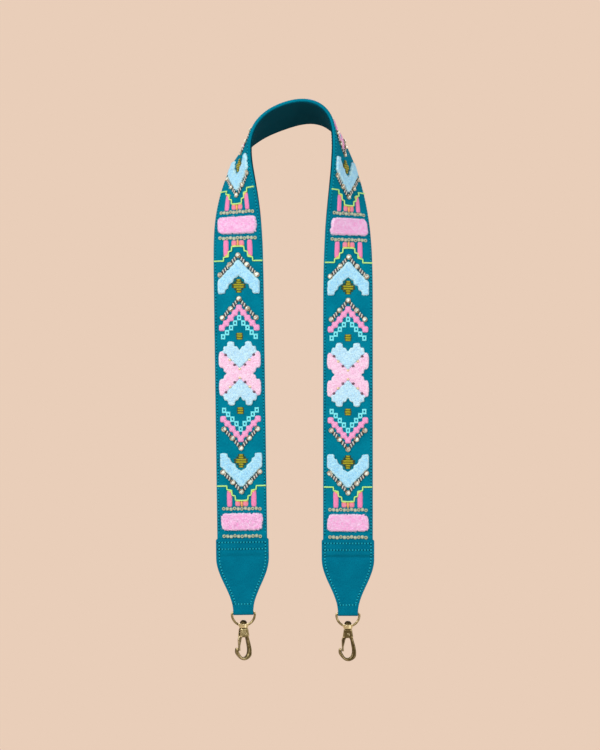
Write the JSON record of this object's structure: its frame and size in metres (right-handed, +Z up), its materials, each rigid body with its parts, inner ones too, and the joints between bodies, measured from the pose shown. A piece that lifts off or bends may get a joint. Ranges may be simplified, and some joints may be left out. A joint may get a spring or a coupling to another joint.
{
  "type": "detachable bag strap",
  "caption": "Wide embroidered cloth shoulder strap for a bag, with tapered end tabs, D-shaped swivel rings and sprung snap hooks, hung over a peg.",
  "frame": {"origin": "on the underside of the band where it runs level at the top of the arch, the point that rests on the peg", "axes": "+Z up, +X across from the left leg to the right leg, -Y towards the viewer, the side that the legs' embroidery faces"},
  "size_m": [0.1609, 0.064, 0.564],
  "materials": {
    "teal_cloth": "woven cotton, matt",
    "dark_teal_cloth": "woven backing, matt",
    "grey_felt": "felt",
    "fibre_board": "leather-fibre board",
    "pink_yarn": "tufted yarn",
    "pale_pink_yarn": "tufted yarn",
    "hot_pink_yarn": "satin-stitched yarn",
    "pale_blue_yarn": "tufted yarn",
    "gold_beads": "small faceted beads",
    "antique_brass": "antiqued, worn on the edges",
    "bright_brass": "polished",
    "spring_steel": "bright strip",
    "olive_thread": "flat stitched thread",
    "lime_thread": "couched cord"
  },
  "bodies": {
    "strap": {"band_face": "teal_cloth", "band_core": "grey_felt", "band_backing": "dark_teal_cloth", "x_motif_1": "pale_pink_yarn", "x_motif_2": "pale_pink_yarn", "x_motif_3": "pale_pink_yarn", "pink_chevron_1_lower": "hot_pink_yarn", "pink_chevron_1_upper": "hot_pink_yarn", "pink_chevron_2_lower": "hot_pink_yarn", "pink_chevron_2_upper": "hot_pink_yarn", "pink_chevron_3_lower": "hot_pink_yarn", "pink_chevron_3_upper": "hot_pink_yarn", "blue_chevron_1_lower": "pale_blue_yarn", "blue_chevron_1_upper": "pale_blue_yarn", "blue_chevron_2_lower": "pale_blue_yarn", "blue_chevron_2_upper": "pale_blue_yarn", "blue_chevron_3_lower": "pale_blue_yarn", "blue_chevron_3_upper": "pale_blue_yarn", "column_group_1_lower": "hot_pink_yarn", "column_group_1_upper": "hot_pink_yarn", "column_group_2_lower": "hot_pink_yarn", "column_group_2_upper": "hot_pink_yarn", "blue_bead_row_1_lower": "gold_beads", "blue_bead_row_1_upper": "gold_beads", "blue_bead_row_2_lower": "gold_beads", "blue_bead_row_2_upper": "gold_beads", "blue_bead_row_3_lower": "gold_beads", "blue_bead_row_3_upper": "gold_beads", "pink_bead_row_1_lower": "gold_beads", "pink_bead_row_1_upper": "gold_beads", "pink_bead_row_2_lower": "gold_beads", "pink_bead_row_2_upper": "gold_beads", "pink_bead_row_3_lower": "gold_beads", "pink_bead_row_3_upper": "gold_beads", "column_group_3_lower": "hot_pink_yarn", "column_group_3_upper": "hot_pink_yarn", "pink_bar_1": "pink_yarn", "pink_bar_2": "pink_yarn", "pink_bar_3": "pink_yarn", "pink_bar_4": "pink_yarn", "end_chain_left": "gold_beads", "end_chain_right": "gold_beads", "tab_left": "teal_cloth", "tab_right": "teal_cloth", "tab_stiffener_left": "fibre_board", "tab_stiffener_right": "fibre_board"},
    "swing_ring_left": {"ring_left": "antique_brass"},
    "snap_hook_left": {"swivel_stud_left": "antique_brass", "hook_left": "antique_brass", "gate_pin_left": "antique_brass", "gate_spring_left": "spring_steel"},
    "lever_left": {"gate_left": "bright_brass"},
    "swing_ring_right": {"ring_right": "antique_brass"},
    "snap_hook_right": {"swivel_stud_right": "antique_brass", "hook_right": "antique_brass", "gate_pin_right": "antique_brass", "gate_spring_right": "spring_steel"},
    "lever_right": {"gate_right": "bright_brass"}
  },
  "joints": [
    {"name": "ring_swing_left", "type": "hinge", "parent": "strap", "child": "swing_ring_left", "pos_m": [-0.06269, -0.02412, -0.50154], "axis": [0.9999, 0, 0.014], "range_deg": [-130, 130]},
    {"name": "hook_swivel_left", "type": "hinge", "parent": "swing_ring_left", "child": "snap_hook_left", "pos_m": [-0.06248, -0.02412, -0.51684], "axis": [-0.014, 0, 0.9999], "continuous": true},
    {"name": "gate_open_left", "type": "hinge", "parent": "snap_hook_left", "child": "lever_left", "pos_m": [-0.06188, -0.02383, -0.52173], "axis": [0.4694, -0.8829, 0.0066], "range_deg": [0, 22], "stiffness_Nm_per_rad": 0.03, "springref_deg": -17.19, "deforming": ["gate_spring_left"]},
    {"name": "ring_swing_right", "type": "hinge", "parent": "strap", "child": "swing_ring_right", "pos_m": [0.04189, -0.01909, -0.50309], "axis": [1, 0, 0], "range_deg": [-130, 130]},
    {"name": "hook_swivel_right", "type": "hinge", "parent": "swing_ring_right", "child": "snap_hook_right", "pos_m": [0.04189, -0.01909, -0.51839], "axis": [0, 0, 1], "continuous": true},
    {"name": "gate_open_right", "type": "hinge", "parent": "snap_hook_right", "child": "lever_right", "pos_m": [0.04249, -0.01909, -0.52329], "axis": [0, -1, 0], "range_deg": [0, 22], "stiffness_Nm_per_rad": 0.03, "springref_deg": -17.19, "deforming": ["gate_spring_right"]}
  ]
}
